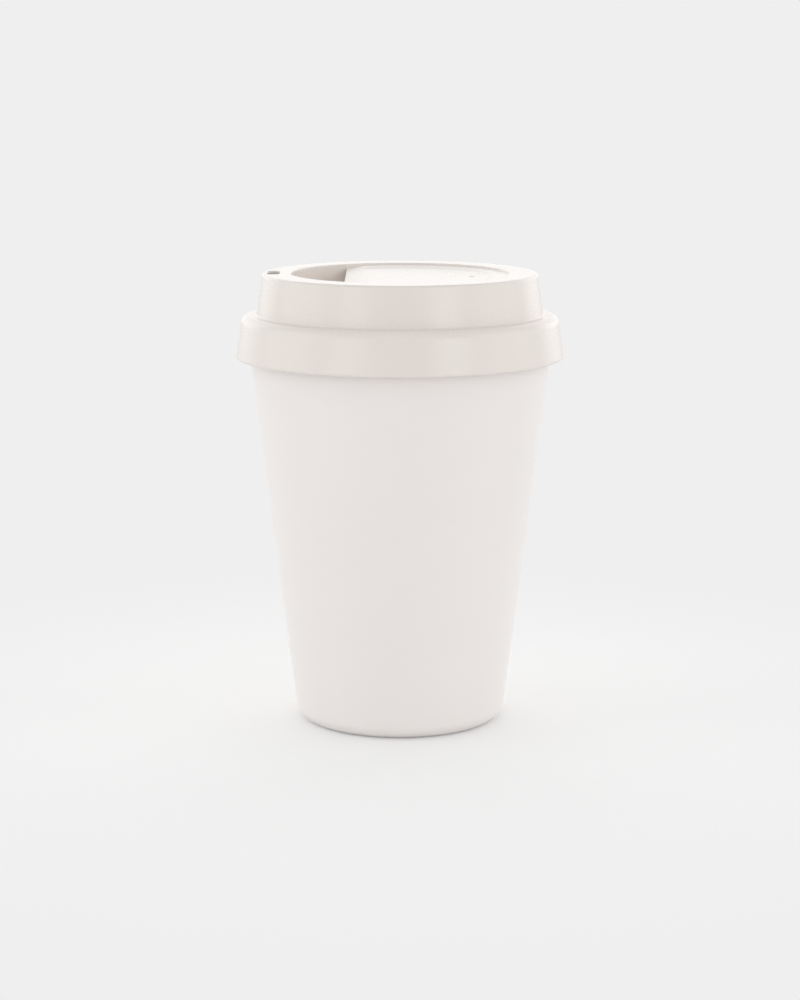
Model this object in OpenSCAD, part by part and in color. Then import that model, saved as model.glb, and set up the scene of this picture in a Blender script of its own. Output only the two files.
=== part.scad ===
// Travel mug: a tapered moulded cup and the push-on sip lid that closes it.
// Millimetres, +Z up. The origin is the middle of the foot, on the surface it stands on.
// The sip slot and the lip pocket are on the -X side.

/* [Cup] */
// Height of the cup from the table to its rim
cup_h = 114; // [95:1:150]
// Outer diameter that the wall's slope reaches at the table
base_d = 58.4; // [52:0.2:66]
// Outer diameter of the upright neck under the lid
neck_d = 84; // [80:0.5:90]
// Thickness of the cup's wall
cup_wall = 1.6; // [1.2:0.1:2]
// Thickness of the cup's floor
floor_t = 2; // [1.5:0.1:3]
// Outer radius of the corner between wall and foot
corner_r = 4.5; // [3:0.25:6]
// Inner radius of the corner between wall and floor
inner_corner_r = 4; // [2:0.25:8]

/* [Foot] */
// Width of the flat ring that the cup stands on
foot_w = 2.6; // [1.5:0.1:4]
// Height of the hollow under the floor
foot_rise = 1.5; // [0.8:0.1:2.5]
// Diameter of the moulding gate's dimple under the floor
gate_d = 6; // [3:0.5:10]
// Depth of the gate's dimple
gate_depth = 0.4; // [0.2:0.1:0.8]

/* [Rim] */
// How far the rim's bead stands out from the neck
rim_proud = 0.7; // [0.5:0.1:1.2]
// Height of the rim's bead
rim_h = 2.6; // [2:0.1:3.5]
// Radius of the bead's outer edges
rim_round = 0.8; // [0.5:0.1:0.9]
// Radius of the mouth's inner edge
mouth_round = 0.5; // [0.3:0.1:0.6]

/* [Lid] */
// Thickness of the lid's walls
lid_wall = 1.5; // [1.2:0.1:1.8]
// Height of the drum from the shoulder to the deck
drum_h = 11.5; // [10:0.5:16]
// Outer diameter of the drum at the deck
drum_top_d = 77; // [74:0.5:79]
// Radius of the deck's outer edge
deck_round = 0.8; // [0.5:0.1:1.2]
// Radius of the crease between drum and shoulder
crease_r = 0.5; // [0.3:0.1:1]
// Outer radius of the shoulder's curve
shoulder_round = 2.6; // [2.2:0.1:3.4]
// How far the skirt's lower edge stands out beyond its shoulder
skirt_flare = 1.3; // [0.6:0.1:2.5]
// Drop of the skirt from the shoulder to its lower edge
skirt_drop = 12.1; // [10:0.1:15]
// How far the neck's lower end hides behind the skirt's edge
neck_cover = 0.9; // [0.4:0.1:1.5]

/* [Seal and snap] */
// Clearance between the rim's bead and the skirt's inside
rim_gap = 0.4; // [0.3:0.05:0.6]
// Clearance between the sealing ring and the mouth
plug_gap = 0.3; // [0.2:0.05:0.5]
// Depth of the sealing ring inside the mouth
plug_h = 4.5; // [3:0.25:6]
// Lead-in chamfer at the sealing ring's lower edge
plug_lead = 0.7; // [0.4:0.1:0.9]
// Radius of the snap bead inside the skirt
snap_r = 0.8; // [0.6:0.1:0.9]
// Clearance between the snap bead and the rim as the lid lifts
snap_gap = 0.3; // [0.2:0.05:0.4]
// Height from the snap bead's middle up to the rim's bead
snap_drop = 0.8; // [0.8:0.1:1.5]

/* [Recess] */
// Diameter of the recess in the deck
recess_d = 60.8; // [56:0.4:62]
// Drop from the deck to the ledge inside the recess
ledge_drop = 0.6; // [0.4:0.1:1]
// Outer diameter of the dished floor
dish_d = 54; // [50:0.5:56]
// Width of the dish's sloping edge
dish_w = 2; // [1:0.25:3]
// Drop from the ledge to the dish's floor
dish_drop = 0.5; // [0.3:0.1:1]
// Radius of the recess's upper edge
lip_round = 0.4; // [0.2:0.1:0.6]

/* [Lip pocket] */
// Depth of the pocket below the deck
pocket_depth = 6; // [4:0.5:9]
// Distance from the lid's middle to the pocket's straight wall
pocket_edge = 15.3; // [12:0.1:18]
// Draft of the pocket's straight wall, in degrees
pocket_draft = 4; // [2:0.5:8]
// Radius round the pocket's floor
pocket_round = 2; // [1:0.25:3]
// Radius of the curved line where the lead-in starts, seen from above
lead_r = 47; // [40:1:60]
// Length of the lead-in from its start to the straight wall
lead_l = 9.2; // [6:0.2:11]
// Slope of the lead-in, in degrees
lead_slope = 8; // [5:0.5:10]

/* [Sip slot and vent] */
// Length of the sip slot
sip_l = 10.5; // [8:0.5:13]
// Width of the sip slot
sip_w = 3.3; // [2.5:0.1:3.8]
// Distance from the slot to the inside of the drum
sip_inset = 0.2; // [0.2:0.1:0.6]
// Chamfer round the slot's upper edge
sip_chamfer = 0.4; // [0.2:0.1:0.6]
// Diameter of the vent hole
vent_d = 1.5; // [1:0.1:2]
// Distance from the lid's middle to the vent hole
vent_x = 20; // [14:0.5:22]

/* [Hidden] */
$fn = 180;
// Degrees from point to point along a curve of the sections, and along a small edge
curve_step = 7;
edge_step = 15;
spare = 1;

// Cup: radii and heights of its section
neck_r = neck_d / 2;
mouth_r = neck_r - cup_wall;
rim_r = neck_r + rim_proud;
skirt_z = cup_h + lid_wall - skirt_drop;
neck_z = skirt_z + neck_cover;
taper = atan((neck_r - base_d / 2) / neck_z);
floor_z = foot_rise + floor_t;
floor_r = base_d / 2 - cup_wall / cos(taper) + floor_z * tan(taper);
corner_c = [base_d / 2 - fillet_x(corner_r, taper), corner_r];
inner_c = [floor_r - fillet_x(inner_corner_r, taper), floor_z + inner_corner_r];
inner_neck_z = floor_z + (mouth_r - floor_r) / tan(taper);
foot_r = corner_c[0] - foot_w;
bead_low = [rim_r - rim_round, cup_h - rim_h + rim_round];
bead_top = [rim_r - rim_round, cup_h - rim_round];
mouth_c = [mouth_r + mouth_round, cup_h - mouth_round];

// Lid: radii and heights of its section
shoulder_z = cup_h + lid_wall;
deck_z = shoulder_z + drum_h;
ledge_z = deck_z - ledge_drop;
dish_z = ledge_z - dish_drop;
recess_r = recess_d / 2;
dish_r = dish_d / 2;
lip_c = [recess_r + lip_round, deck_z - lip_round];
plug_r = mouth_r - plug_gap;
plug_z = cup_h - plug_h;
lean = atan((plug_r - drum_top_d / 2) / drum_h);
deck_c = [drum_r(deck_z - deck_round) - deck_round / cos(lean), deck_z - deck_round];
crease_c = [plug_r + fillet_x(crease_r, lean), shoulder_z + crease_r];
shoulder_r = rim_r + rim_gap + lid_wall;
shoulder_c = [shoulder_r - shoulder_round, shoulder_z - shoulder_round];
inner_round = shoulder_round - lid_wall;
hem_r = lid_wall / 2;
hem_c = [shoulder_r + skirt_flare - hem_r, skirt_z + hem_r];
hem_way = hem_c - shoulder_c;
skirt_turn = atan2(hem_way[1], hem_way[0]) + acos((shoulder_round - hem_r) / norm(hem_way));
skirt_out = [cos(skirt_turn), sin(skirt_turn)];

// Snap bead: how deep its middle lies in the skirt's wall, and half of the arc that stands out of it
snap_c = [rim_r + snap_gap + snap_r, cup_h - rim_h - snap_drop];
snap_in = skirt_out * (snap_c - shoulder_c) - inner_round;
snap_turn = acos(snap_in / snap_r);

// Pocket, lead-in and slot
pocket_z = deck_z - pocket_depth;
lead_x = lead_r + pocket_edge - lead_l;
sip_x = drum_in_r(deck_z - lid_wall) - sip_inset - sip_w / 2;

// Points along a curve about c from one direction to another
function arc(c, r, from, to, step = edge_step) =
    let (n = ceil(abs(to - from) / step))
    [for (i = [0:n]) c + r * [cos(from + (to - from) * i / n), sin(from + (to - from) * i / n)]];
// Level distance from the corner of a floor and a wall that leans outwards to the fillet's middle
function fillet_x(r, slope) = r * (1 - sin(slope)) / cos(slope);
// Outer and inner radius of the drum at a height
function drum_r(z) = plug_r - (z - shoulder_z) * tan(lean);
function drum_in_r(z) = drum_r(z) - lid_wall / cos(lean);
// Height of the lead-in at a distance from its own middle
function lead_z(r) = dish_z - (lead_r - r) * tan(lead_slope);

// Half section of the cup, with the radius along X and the height along Y:
// the hollow foot, up the outside, over the rim, and down the inside to the floor
module cup_section() {
    polygon(concat(
        [[0, foot_rise + gate_depth], [gate_d / 2, foot_rise + gate_depth], [gate_d / 2, foot_rise]],
        [[foot_r - foot_rise, foot_rise], [foot_r, 0]],
        arc(corner_c, corner_r, -90, -taper, curve_step),
        [[neck_r, neck_z], [neck_r, cup_h - rim_h]],
        arc(bead_low, rim_round, -90, 0),
        arc(bead_top, rim_round, 0, 90),
        arc(mouth_c, mouth_round, 90, 180),
        [[mouth_r, inner_neck_z]],
        arc(inner_c, inner_corner_r, -taper, -90, curve_step),
        [[0, floor_z]]
    ));
}

module cup() {
    color("#F1EEEA") rotate_extrude() cup_section();
}

// Half section of the lid before its pocket: the dished recess, the deck, down the drum,
// shoulder and skirt, up its inside past the snap bead, and round the sealing ring
module lid_section() {
    polygon(concat(
        [[0, dish_z], [dish_r - dish_w, dish_z], [dish_r, ledge_z], [recess_r, ledge_z]],
        arc(lip_c, lip_round, 180, 90),
        arc(deck_c, deck_round, 90, lean),
        arc(crease_c, crease_r, 180 + lean, 270),
        arc(shoulder_c, shoulder_round, 90, skirt_turn, curve_step),
        arc(hem_c, hem_r, skirt_turn, skirt_turn - 180),
        arc(snap_c, snap_r, skirt_turn + 180 + snap_turn, skirt_turn + 180 - snap_turn),
        arc(shoulder_c, inner_round, skirt_turn, 90),
        [[plug_r, cup_h], [plug_r, plug_z + 2 * plug_lead], [plug_r - plug_lead, plug_z]],
        [[drum_in_r(cup_h), plug_z], [drum_in_r(cup_h), cup_h]],
        [[drum_in_r(deck_z - lid_wall), deck_z - lid_wall], [recess_r + lid_wall, deck_z - lid_wall]],
        [[recess_r + lid_wall, ledge_z - lid_wall], [dish_r, ledge_z - lid_wall]],
        [[dish_r - dish_w, dish_z - lid_wall], [0, dish_z - lid_wall]]
    ));
}

// The pocket's form, larger all round by grow: round against the recess, straight towards the middle
module pocket_form(grow, top) {
    r = recess_r + grow;
    z = pocket_z - grow;
    curve = pocket_round + grow;
    edge_x = pocket_edge - grow / cos(pocket_draft) + (deck_z - z) * tan(pocket_draft);
    edge_c = [-edge_x - fillet_x(curve, -pocket_draft), z + curve];
    intersection() {
        rotate_extrude() polygon(concat(
            [[0, z]],
            arc([r - curve, z + curve], curve, -90, 0),
            [[r, top], [0, top]]
        ));
        rotate([90, 0, 0]) translate([0, 0, -r - spare]) linear_extrude(2 * (r + spare)) polygon(concat(
            [[-r - spare, z - spare], [edge_c[0], z - spare]],
            arc(edge_c, curve, -90, -pocket_draft),
            [[-edge_x + (top - z) * tan(pocket_draft), top], [-r - spare, top]]
        ));
    }
}

// The lead-in's form: the space over a shallow cone about a point beyond the sip slot
module lead_form(drop, r, top) {
    near = lead_r - lead_l - spare;
    far = lead_r + (top + drop - dish_z) / tan(lead_slope);
    intersection() {
        translate([-lead_x, 0, 0]) rotate_extrude() polygon([
            [near, lead_z(near) - drop],
            [far, top],
            [near, top]
        ]);
        translate([0, 0, pocket_z]) cylinder(h = pocket_depth + spare, r = r);
    }
}

module sip_slot() {
    half = sip_w / 2;
    wide = half + sip_chamfer;
    straight = sip_l - sip_w;
    translate([-sip_x, 0, deck_z]) {
        rotate([90, 0, 0]) linear_extrude(straight, center = true) polygon([
            [-half, -lid_wall - spare],
            [half, -lid_wall - spare],
            [half, -sip_chamfer],
            [wide, 0],
            [wide, spare],
            [-wide, spare],
            [-wide, 0],
            [-half, -sip_chamfer]
        ]);
        for (side = [-1, 1]) translate([0, side * straight / 2, 0]) rotate_extrude() polygon([
            [0, -lid_wall - spare],
            [half, -lid_wall - spare],
            [half, -sip_chamfer],
            [wide, 0],
            [wide, spare],
            [0, spare]
        ]);
    }
}

module vent() {
    translate([vent_x, 0, dish_z - lid_wall - spare]) cylinder(h = lid_wall + 2 * spare, d = vent_d);
}

module lid() {
    color("#F0ECE7") difference() {
        union() {
            rotate_extrude() lid_section();
            pocket_form(lid_wall, dish_z - lid_wall / 2);
            lead_form(lid_wall, recess_r + lid_wall / 2, dish_z - lid_wall / 2);
        }
        pocket_form(0, deck_z + spare);
        lead_form(0, recess_r, ledge_z + spare);
        sip_slot();
        vent();
    }
}

cup();
lid();
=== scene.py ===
import math

import bmesh
import bpy
from mathutils import Matrix, Vector


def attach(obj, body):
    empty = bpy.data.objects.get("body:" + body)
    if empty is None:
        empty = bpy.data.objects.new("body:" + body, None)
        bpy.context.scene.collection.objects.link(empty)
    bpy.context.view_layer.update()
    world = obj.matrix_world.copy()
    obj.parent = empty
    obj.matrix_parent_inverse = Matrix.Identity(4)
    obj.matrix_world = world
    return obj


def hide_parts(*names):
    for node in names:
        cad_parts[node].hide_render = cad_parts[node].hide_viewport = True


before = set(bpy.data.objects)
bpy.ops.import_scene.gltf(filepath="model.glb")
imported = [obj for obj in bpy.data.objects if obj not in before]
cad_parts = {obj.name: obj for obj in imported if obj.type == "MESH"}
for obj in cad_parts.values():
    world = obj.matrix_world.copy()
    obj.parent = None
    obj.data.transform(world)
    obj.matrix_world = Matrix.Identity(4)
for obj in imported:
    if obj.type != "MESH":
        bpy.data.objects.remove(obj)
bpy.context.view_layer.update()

# A plastic travel mug: a tapered cup with a push-on sip lid. Metres, +Z up, the foot on the floor
# at the origin. The sip slot and the lip pocket are on the -X side. Sizes are in millimetres.
MM = 0.001
TURN = 2 * math.pi
STEPS = 256  # faces round each turned form
# Turns a cutter by half a face, which keeps its edges off the edges of the form that it cuts
HALF_STEP = Matrix.Rotation(TURN / STEPS / 2, 4, "Z")
CLEAR = 0.01  # keeps a cutter's face off a face that would lie in it
SPARE = 1.0  # how far a cutter runs past what it cuts
WELD = 1e-6  # points nearer to each other than this, in metres, are one
FACE_TURN = 9  # the most degrees that a round turns from face to face
CRISP = 32  # faces that meet at more degrees than this keep a crisp line between them

# Cup
cup_h, base_r, neck_r, cup_wall, floor_t = 114.0, 29.2, 42.0, 1.6, 2.0
corner_r, inner_corner_r = 4.5, 4.0
foot_w, foot_rise, gate_r, gate_depth = 2.6, 1.5, 3.0, 0.4
rim_proud, rim_h, rim_round, mouth_round = 0.7, 2.6, 0.8, 0.5

# Lid
lid_wall, drum_h, drum_top_r, deck_round, crease_r = 1.5, 11.5, 38.5, 0.8, 0.5
shoulder_round, skirt_flare, skirt_drop, neck_cover = 2.6, 1.3, 12.1, 0.9
rim_gap, plug_gap, plug_h, plug_lead = 0.4, 0.3, 4.5, 0.7
snap_r, snap_gap, snap_drop = 0.8, 0.3, 0.8

# Recess, lip pocket and the shallow lead-in beside it, with angles in degrees
recess_r, ledge_drop, dish_r, dish_w, dish_drop, lip_round = 30.4, 0.6, 27.0, 2.0, 0.5, 0.4
pocket_depth, pocket_edge, pocket_draft, pocket_round = 6.0, 15.3, 4.0, 2.0
lead_r, lead_l, lead_slope = 47.0, 9.2, 8.0

# Sip slot and vent
sip_l, sip_w, sip_inset, sip_flare = 10.5, 3.3, 0.2, 0.4
vent_r, vent_x, vent_flare = 0.75, 20.0, 0.2

# Rounds that the mould leaves: on small edges, in the lid's inner folds and at slow bends
edge_round, fold_round, bend_round = 0.2, 0.4, 1.5

# What follows for the cup
mouth_r = neck_r - cup_wall
rim_r = neck_r + rim_proud
skirt_z = cup_h + lid_wall - skirt_drop
neck_z = skirt_z + neck_cover
taper = math.atan((neck_r - base_r) / neck_z)
foot_r = base_r - corner_r * math.tan((math.pi / 2 - taper) / 2) - foot_w
floor_z = foot_rise + floor_t
floor_r = base_r - cup_wall / math.cos(taper) + floor_z * math.tan(taper)
inner_neck_z = floor_z + (mouth_r - floor_r) / math.tan(taper)

# What follows for the lid
shoulder_z = cup_h + lid_wall
deck_z = shoulder_z + drum_h
ledge_z = deck_z - ledge_drop
dish_z = ledge_z - dish_drop
plug_r, plug_z = mouth_r - plug_gap, cup_h - plug_h
lean = math.atan((plug_r - drum_top_r) / drum_h)
hem_r = lid_wall / 2
shoulder_r = rim_r + rim_gap + lid_wall
shoulder_c = Vector((shoulder_r - shoulder_round, shoulder_z - shoulder_round))
hem_way = Vector((shoulder_r + skirt_flare - hem_r, skirt_z + hem_r)) - shoulder_c
skirt_lean = math.atan2(hem_way.y, hem_way.x) + math.acos((shoulder_round - hem_r) / hem_way.length)
snap_z = cup_h - rim_h - snap_drop


def drum_in(z):
    """Inner radius of the lid's drum at a height."""
    return plug_r - (z - shoulder_z) * math.tan(lean) - lid_wall / math.cos(lean)


def skirt_out(z):
    """Outer radius of the lid's skirt at a height."""
    return shoulder_c.x + shoulder_round / math.cos(skirt_lean) - (z - shoulder_c.y) * math.tan(skirt_lean)


def skirt_in(z):
    """Inner radius of the lid's skirt at a height."""
    return skirt_out(z) - lid_wall / math.cos(skirt_lean)


def finished(bm, name):
    """Closes seams and poles, points the faces outwards and makes the object."""
    bmesh.ops.remove_doubles(bm, verts=bm.verts[:], dist=WELD)
    bmesh.ops.recalc_face_normals(bm, faces=bm.faces[:])
    mesh = bpy.data.meshes.new(name)
    bm.to_mesh(mesh)
    bm.free()
    obj = bpy.data.objects.new(name, mesh)
    bpy.context.scene.collection.objects.link(obj)
    return obj


def turned(points, name, centre=(0, 0), steps=STEPS):
    """Turns a profile of (radius, height, corner's round) points once about an upright axis at centre."""
    bm = bmesh.new()
    verts = [bm.verts.new((radius * MM, 0, height * MM)) for radius, height, _ in points]
    for a, b in zip(verts, verts[1:]):
        bm.edges.new((a, b))
    rounded = [(vert, size * MM) for vert, (_, _, size) in zip(verts, points) if size]
    for vert, size in rounded:
        ways = [(edge.other_vert(vert).co - vert.co).normalized() for edge in vert.link_edges]
        opening = ways[0].angle(ways[1])
        faces = max(3, math.ceil(math.degrees(math.pi - opening) / FACE_TURN))
        bmesh.ops.bevel(bm, geom=[vert], offset=size / math.tan(opening / 2), offset_type="OFFSET",
                        affect="VERTICES", segments=faces, profile=0.5, material=-1)
    bmesh.ops.spin(bm, geom=bm.verts[:] + bm.edges[:], cent=(0, 0, 0), axis=(0, 0, 1), angle=TURN,
                   steps=steps, use_merge=True)
    bmesh.ops.translate(bm, verts=bm.verts[:], vec=(centre[0] * MM, centre[1] * MM, 0))
    return finished(bm, name)


def combine(obj, tool, operation):
    """Joins the tool to the object, cuts it out or keeps what they share, and takes the tool away."""
    step = obj.modifiers.new(operation.lower(), "BOOLEAN")
    step.operation, step.solver, step.object = operation, "EXACT", tool
    graph = bpy.context.evaluated_depsgraph_get()
    shape = bpy.data.meshes.new_from_object(obj.evaluated_get(graph))
    obj.modifiers.clear()
    old = obj.data
    obj.data = shape
    shape.name = old.name
    bpy.data.meshes.remove(old)
    bpy.data.meshes.remove(tool.data)


def smooth(obj):
    """Soft shading all over, apart from the crisp lines."""
    obj.data.polygons.foreach_set("use_smooth", [True] * len(obj.data.polygons))
    obj.data.set_sharp_from_angle(angle=math.radians(CRISP))
    weighted = obj.modifiers.new("even shading", "WEIGHTED_NORMAL")
    weighted.keep_sharp = True


def cup_body():
    """The cup: its hollow foot, the long taper, the upright neck and rim bead, then down the inside."""
    return turned([
        (0, foot_rise + gate_depth, 0), (gate_r, foot_rise + gate_depth, edge_round),
        (gate_r + edge_round, foot_rise, edge_round), (foot_r - foot_rise, foot_rise, fold_round),
        (foot_r, 0, edge_round), (base_r, 0, corner_r), (neck_r, neck_z, bend_round),
        (neck_r, cup_h - rim_h, edge_round), (rim_r, cup_h - rim_h, rim_proud / 2),
        (rim_r, cup_h, rim_round), (mouth_r, cup_h, mouth_round), (mouth_r, inner_neck_z, bend_round),
        (floor_r, floor_z, inner_corner_r), (0, floor_z, 0),
    ], "cup_body")


def lid_shell():
    """The lid before its pocket: dished recess, deck, drum, shoulder and skirt, then back up the inside
    past the snap bead, round the sealing ring and under the deck."""
    hem_round = hem_r - CLEAR
    return turned([
        (0, dish_z, 0), (dish_r - dish_w, dish_z, bend_round), (dish_r, ledge_z, bend_round),
        (recess_r, ledge_z, ledge_drop - lip_round), (recess_r, deck_z, lip_round),
        (drum_top_r, deck_z, deck_round), (plug_r, shoulder_z, crease_r),
        (skirt_out(shoulder_z), shoulder_z, shoulder_round),
        (skirt_out(skirt_z), skirt_z, hem_round), (skirt_in(skirt_z), skirt_z, hem_round),
        (skirt_in(snap_z - snap_r), snap_z - snap_r, fold_round),
        (rim_r + snap_gap, snap_z - snap_r / 2, fold_round),
        (rim_r + snap_gap, snap_z + snap_r / 2, fold_round),
        (skirt_in(snap_z + snap_r), snap_z + snap_r, fold_round),
        (skirt_in(cup_h), cup_h, shoulder_round - lid_wall),
        (plug_r, cup_h, edge_round), (plug_r, plug_z + 2 * plug_lead, fold_round),
        (plug_r - plug_lead, plug_z, edge_round), (drum_in(cup_h), plug_z, edge_round),
        (drum_in(cup_h), cup_h, fold_round), (drum_in(deck_z - lid_wall), deck_z - lid_wall, fold_round),
        (recess_r + lid_wall, deck_z - lid_wall, edge_round),
        (recess_r + lid_wall, ledge_z - lid_wall, edge_round),
        (dish_r, ledge_z - lid_wall, bend_round), (dish_r - dish_w, dish_z - lid_wall, bend_round),
        (0, dish_z - lid_wall, 0),
    ], "lid_shell")


def pocket(grow, top, name):
    """The D-shaped lip pocket as a solid, larger all round by grow: round on the slot's side, and
    straight and drafted towards the middle."""
    low = deck_z - pocket_depth - grow
    bm = bmesh.new()
    bmesh.ops.create_circle(bm, cap_ends=True, radius=(recess_r + grow) * MM, segments=STEPS,
                            matrix=Matrix.Translation((0, 0, low * MM)) @ HALF_STEP)
    raised = bmesh.ops.extrude_face_region(bm, geom=bm.faces[:])["geom"]
    bmesh.ops.translate(bm, verts=[v for v in raised if isinstance(v, bmesh.types.BMVert)],
                        vec=(0, 0, (top - low) * MM))
    draft = math.radians(pocket_draft)
    cut = bmesh.ops.bisect_plane(bm, geom=bm.verts[:] + bm.edges[:] + bm.faces[:], dist=1e-7,
                                 plane_co=((-pocket_edge + grow / math.cos(draft)) * MM, 0, deck_z * MM),
                                 plane_no=(math.cos(draft), 0, -math.sin(draft)), clear_outer=True)
    bmesh.ops.edgenet_fill(bm, edges=[e for e in cut["geom_cut"] if isinstance(e, bmesh.types.BMEdge)])
    bmesh.ops.recalc_face_normals(bm, faces=bm.faces[:])
    foot = [e for e in bm.edges if all(abs(v.co.z - low * MM) < WELD for v in e.verts)]
    bmesh.ops.bevel(bm, geom=foot, offset=(pocket_round + grow) * MM, affect="EDGES", segments=8,
                    profile=0.5, material=-1)
    return finished(bm, name)


def lead_in(drop, radius, top, name):
    """The space over the shallow cone that falls towards the pocket, moved down by drop and kept
    within a radius. The cone's middle lies beyond the sip slot."""
    fall = math.tan(math.radians(lead_slope))
    near = lead_r - lead_l - SPARE
    far = lead_r + (top + drop - dish_z) / fall
    low = dish_z - (lead_r - near) * fall - drop
    cone = turned([(near, low, 0), (far, top, 0), (near, top, 0), (near, low, 0)], name,
                  (lead_l - lead_r - pocket_edge, 0))
    bm = bmesh.new()
    bmesh.ops.create_cone(bm, cap_ends=True, segments=STEPS, radius1=radius * MM, radius2=radius * MM,
                          depth=2 * drum_h * MM, matrix=Matrix.Translation((0, 0, deck_z * MM)) @ HALF_STEP)
    combine(cone, finished(bm, "recess_limit"), "INTERSECT")
    return cone


def sip_slot():
    """The slot's cutter: a bar with round ends, whose top flares out to round the slot's upper edge."""
    high = lid_wall + SPARE - sip_flare
    flare_steps = 4
    bm = bmesh.new()
    bmesh.ops.create_cube(bm, size=MM)
    bmesh.ops.scale(bm, verts=bm.verts[:], vec=(sip_w, sip_l, high))
    upright = [e for e in bm.edges if e.verts[0].co.xy == e.verts[1].co.xy]
    bmesh.ops.bevel(bm, geom=upright, offset=(sip_w / 2 - CLEAR) * MM, affect="EDGES", segments=14,
                    profile=0.5, material=-1)
    bmesh.ops.translate(bm, verts=bm.verts[:], vec=(0, 0, (deck_z - sip_flare - high / 2) * MM))
    upper = max(bm.faces, key=lambda face: face.calc_center_median().z)
    wide, risen = 0.0, 0.0
    for i in range(flare_steps):
        turn = TURN / 4 * (i + 1) / flare_steps
        out, up = sip_flare * (1 - math.cos(turn)), sip_flare * math.sin(turn)
        upper = bmesh.ops.extrude_discrete_faces(bm, faces=[upper])["faces"][0]
        bmesh.ops.scale(bm, verts=upper.verts[:], vec=((sip_w + 2 * out) / (sip_w + 2 * wide),
                                                       (sip_l + 2 * out) / (sip_l + 2 * wide), 1))
        bmesh.ops.translate(bm, verts=upper.verts[:], vec=(0, 0, (up - risen) * MM))
        wide, risen = out, up
    upper = bmesh.ops.extrude_discrete_faces(bm, faces=[upper])["faces"][0]
    bmesh.ops.translate(bm, verts=upper.verts[:], vec=(0, 0, SPARE * MM))
    sip_x = drum_in(deck_z - lid_wall) - sip_inset - sip_w / 2
    bmesh.ops.translate(bm, verts=bm.verts[:], vec=(-sip_x * MM, 0, 0))
    return finished(bm, "slot_cutter")


def vent():
    """The vent's cutter: a pin that widens towards its top."""
    low, high, wide = dish_z - lid_wall - SPARE, dish_z + SPARE, vent_r + 2 * vent_flare
    return turned([(0, low, 0), (vent_r, low, 0), (vent_r, dish_z - vent_flare, edge_round),
                   (wide, dish_z + vent_flare, 0), (wide, high, 0), (0, high, 0)],
                  "vent_cutter", centre=(vent_x, 0), steps=48)


cup = cup_body()
lid = lid_shell()
# The tops of the pocket's shell and of the pad under the lead-in end at two heights inside the wall
shell_top, pad_top = dish_z - lid_wall / 2, dish_z - lid_wall / 3
combine(lid, pocket(lid_wall, shell_top, "pocket_shell"), "UNION")
combine(lid, lead_in(lid_wall, recess_r + lid_wall / 2, pad_top, "lead_in_pad"), "UNION")
combine(lid, pocket(CLEAR, deck_z + SPARE, "pocket_cutter"), "DIFFERENCE")
combine(lid, lead_in(0, recess_r - CLEAR, ledge_z + SPARE, "lead_in_cutter"), "DIFFERENCE")
combine(lid, sip_slot(), "DIFFERENCE")
combine(lid, vent(), "DIFFERENCE")
smooth(cup)
smooth(lid)


# Colours and materials
def linear(hex_code):
    """An sRGB hex colour as the linear RGBA that shaders and lamps take."""
    channels = [int(hex_code[i:i + 2], 16) / 255 for i in (1, 3, 5)]
    return tuple(c / 12.92 if c <= 0.04045 else ((c + 0.055) / 1.055) ** 2.4 for c in channels) + (1.0,)


def add(tree, kind, settings=None, **links):
    """Adds one shader node. A keyword sets the input of that name, or with i0, i1 and so on of that
    number, to a value or to another node's output."""
    node = tree.nodes.new(kind)
    for name, value in (settings or {}).items():
        setattr(node, name, value)
    for name, value in links.items():
        numbered = name[0] == "i" and name[1:].isdigit()
        socket = node.inputs[int(name[1:])] if numbered else node.inputs[name.replace("_", " ")]
        if isinstance(value, bpy.types.NodeSocket):
            tree.links.new(value, socket)
        else:
            socket.default_value = value
    return node


WHITE = "#FFFFFF"
PAPER = "#F0F0F0"
BACKGROUND = "#EFEFEF"
CLOUD, GRAIN, GRAIN_H = 45.0, 0.5, 0.002  # sizes of the plastic's clouding and grain
CLOUD_TONE, SATIN = 0.985, 0.02  # the clouds' darkest tone, and how far the roughness varies


def moulded_polypropylene(name, colour, roughness):
    """Injection-moulded polypropylene: an off-white that is satin from the fine texture of the mould."""
    mat = bpy.data.materials.new(name)
    mat.use_nodes = True
    tree = mat.node_tree
    shader = tree.nodes["Principled BSDF"]
    shader.inputs["IOR"].default_value = 1.49
    place = add(tree, "ShaderNodeTexCoord").outputs["Object"]
    # Faint, slow clouding from the way the melt flowed
    cloud = add(tree, "ShaderNodeTexNoise", Vector=place, Scale=1 / (CLOUD * MM), Detail=2.0, Roughness=0.5)
    tint = add(tree, "ShaderNodeMapRange", i0=cloud.outputs[0], i1=0.3, i2=0.7, i3=CLOUD_TONE, i4=1.0)
    toned = add(tree, "ShaderNodeMix", {"data_type": "RGBA", "blend_type": "MULTIPLY"},
                i0=1.0, i6=linear(colour), i7=tint.outputs[0])
    tree.links.new(toned.outputs[2], shader.inputs["Base Color"])
    # Satin from the mould's texture, whose real grain of 0.05 mm is drawn coarser so that it can show
    fine = add(tree, "ShaderNodeTexNoise", Vector=place, Scale=1 / (GRAIN * MM), Detail=2.0, Roughness=0.6)
    dull = add(tree, "ShaderNodeMapRange", i0=fine.outputs[0], i1=0.3, i2=0.7,
               i3=roughness - SATIN, i4=roughness + SATIN)
    tree.links.new(dull.outputs[0], shader.inputs["Roughness"])
    bump = add(tree, "ShaderNodeBump", Height=fine.outputs[0], Distance=GRAIN_H * MM, Strength=0.5)
    tree.links.new(bump.outputs[0], shader.inputs["Normal"])
    return mat


cup.data.materials.append(moulded_polypropylene("polypropylene_moulded_cup", "#F5F0ED", 0.30))
lid.data.materials.append(moulded_polypropylene("polypropylene_moulded_lid", "#ECE5DF", 0.26))

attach(cup, "cup")
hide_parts("cup")
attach(lid, "lid")
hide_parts("lid")


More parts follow.
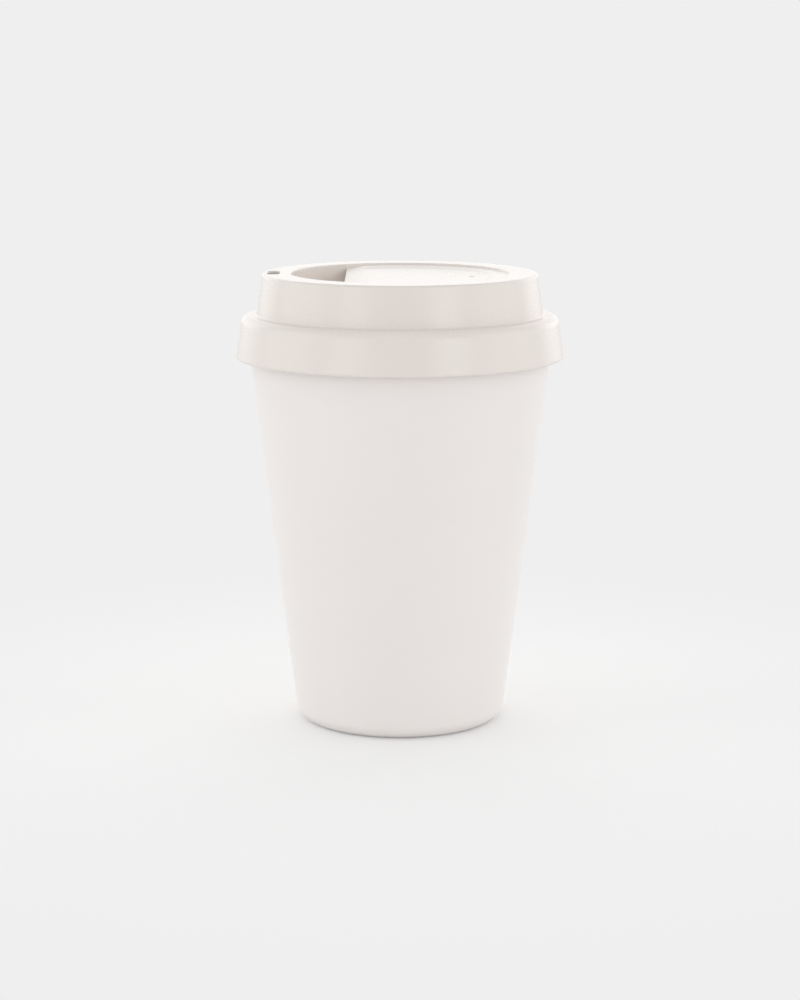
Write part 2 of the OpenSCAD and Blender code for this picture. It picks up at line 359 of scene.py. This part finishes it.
# Floor, world, lamps and camera, in metres
FLOOR_HALF = 30.0
FADE_FROM, FADE_TO = 0.06, 0.22  # how far out the paper begins and ends to fade
PAPER_LIFT = 0.13  # brings the paper near the object up to the background's level
ROOM_SIDES, ROOM_TOP, SWEEP_MORE = 0.79, 0.61, 0.62  # light levels of the room and its bright sweep
CAMERA_BACK, CAMERA_UP, CAMERA_TILT, CAMERA_LENS = 0.700, 0.19196, 10.485, 112.87


def paper_sweep():
    """Matt white paper that takes the object's shadow, and fades to the plain background further out
    where the camera or a reflection sees it."""
    mat = bpy.data.materials.new("paper_sweep_matt")
    mat.use_nodes = True
    tree = mat.node_tree
    tree.nodes.clear()
    place = add(tree, "ShaderNodeTexCoord").outputs["Object"]
    away = add(tree, "ShaderNodeVectorMath", {"operation": "LENGTH"}, i0=place).outputs["Value"]
    far = add(tree, "ShaderNodeMapRange", {"interpolation_type": "SMOOTHSTEP"},
              i0=away, i1=FADE_FROM, i2=FADE_TO, i3=0.0, i4=1.0).outputs[0]
    rays = add(tree, "ShaderNodeLightPath").outputs
    seen = rays["Is Camera Ray"]
    for kind in ("Is Glossy Ray", "Is Transmission Ray"):
        seen = add(tree, "ShaderNodeMath", {"operation": "MAXIMUM"}, i0=seen, i1=rays[kind]).outputs[0]
    plain = add(tree, "ShaderNodeMath", {"operation": "MULTIPLY"}, i0=seen, i1=far).outputs[0]
    paper = add(tree, "ShaderNodeBsdfDiffuse", Color=linear(PAPER)).outputs[0]
    lift = add(tree, "ShaderNodeMath", {"operation": "MULTIPLY"}, i0=seen, i1=PAPER_LIFT).outputs[0]
    lift = add(tree, "ShaderNodeEmission", Color=linear(WHITE), Strength=lift).outputs[0]
    near = add(tree, "ShaderNodeAddShader", i0=paper, i1=lift).outputs[0]
    glow = add(tree, "ShaderNodeEmission", Color=linear(BACKGROUND), Strength=1.0).outputs[0]
    both = add(tree, "ShaderNodeMixShader", i0=plain, i1=near, i2=glow).outputs[0]
    add(tree, "ShaderNodeOutputMaterial", Surface=both)
    return mat


def studio():
    """Even light from the room, a little less from above and more from the bright sweep behind the
    object. The camera sees the plain background instead."""
    world = bpy.data.worlds.new("studio")
    world.use_nodes = True
    tree = world.node_tree
    tree.nodes.clear()
    way = add(tree, "ShaderNodeTexCoord").outputs["Generated"]
    axes = add(tree, "ShaderNodeSeparateXYZ", i0=way).outputs
    room = add(tree, "ShaderNodeMapRange",
               i0=axes[2], i1=0.15, i2=0.85, i3=ROOM_SIDES, i4=ROOM_TOP).outputs[0]
    sweep = add(tree, "ShaderNodeMapRange", {"interpolation_type": "SMOOTHSTEP"},
                i0=axes[1], i1=0.45, i2=0.75, i3=0.0, i4=SWEEP_MORE).outputs[0]
    level = add(tree, "ShaderNodeMath", {"operation": "ADD"}, i0=room, i1=sweep).outputs[0]
    light = add(tree, "ShaderNodeBackground", Color=linear(WHITE), Strength=level).outputs[0]
    plain = add(tree, "ShaderNodeBackground", Color=linear(BACKGROUND), Strength=1.0).outputs[0]
    camera_ray = add(tree, "ShaderNodeLightPath").outputs["Is Camera Ray"]
    both = add(tree, "ShaderNodeMixShader", i0=camera_ray, i1=light, i2=plain).outputs[0]
    add(tree, "ShaderNodeOutputWorld", Surface=both)
    return world


def softbox(name, place, aim_z, size, watts):
    """A square soft lamp that looks at a height on the object's axis."""
    lamp = bpy.data.lights.new(name, "AREA")
    lamp.shape, lamp.size, lamp.energy = "SQUARE", size, watts
    obj = bpy.data.objects.new(name, lamp)
    obj.location = place
    obj.rotation_euler = (Vector((0, 0, aim_z)) - Vector(place)).to_track_quat("-Z", "Y").to_euler()
    bpy.context.scene.collection.objects.link(obj)


bm = bmesh.new()
bmesh.ops.create_grid(bm, x_segments=2, y_segments=2, size=FLOOR_HALF)
floor = finished(bm, "floor")
floor.data.materials.append(paper_sweep())
bpy.context.scene.world = studio()

softbox("left_softbox", (-1.3, -0.1, 0.6), 0.06, 1.15, 3.2)
softbox("right_softbox", (1.3, -0.1, 0.6), 0.06, 1.15, 2.4)
softbox("back_left_softbox", (-1.0, 1.0, 0.4), 0.12, 0.8, 0.8)
softbox("back_right_softbox", (1.0, 1.0, 0.4), 0.12, 0.8, 1.2)
softbox("front_left_softbox", (-0.9, -1.2, 0.3), 0.06, 0.6, 1.3)
softbox("front_right_softbox", (0.9, -1.2, 0.3), 0.06, 0.6, 1.8)

# The photograph's view: from 0.70 m in front and a little above, tilted down, with a long lens
camera = bpy.data.cameras.new("camera")
camera.sensor_fit, camera.sensor_width, camera.lens = "HORIZONTAL", 36.0, CAMERA_LENS
camera.clip_start, camera.clip_end = 0.01, 100
camera_obj = bpy.data.objects.new("camera", camera)
camera_obj.location = (0, -CAMERA_BACK, CAMERA_UP)
camera_obj.rotation_euler = (math.radians(90 - CAMERA_TILT), 0, 0)
bpy.context.scene.collection.objects.link(camera_obj)
bpy.context.scene.camera = camera_obj
bpy.context.scene.view_settings.view_transform = "Standard"
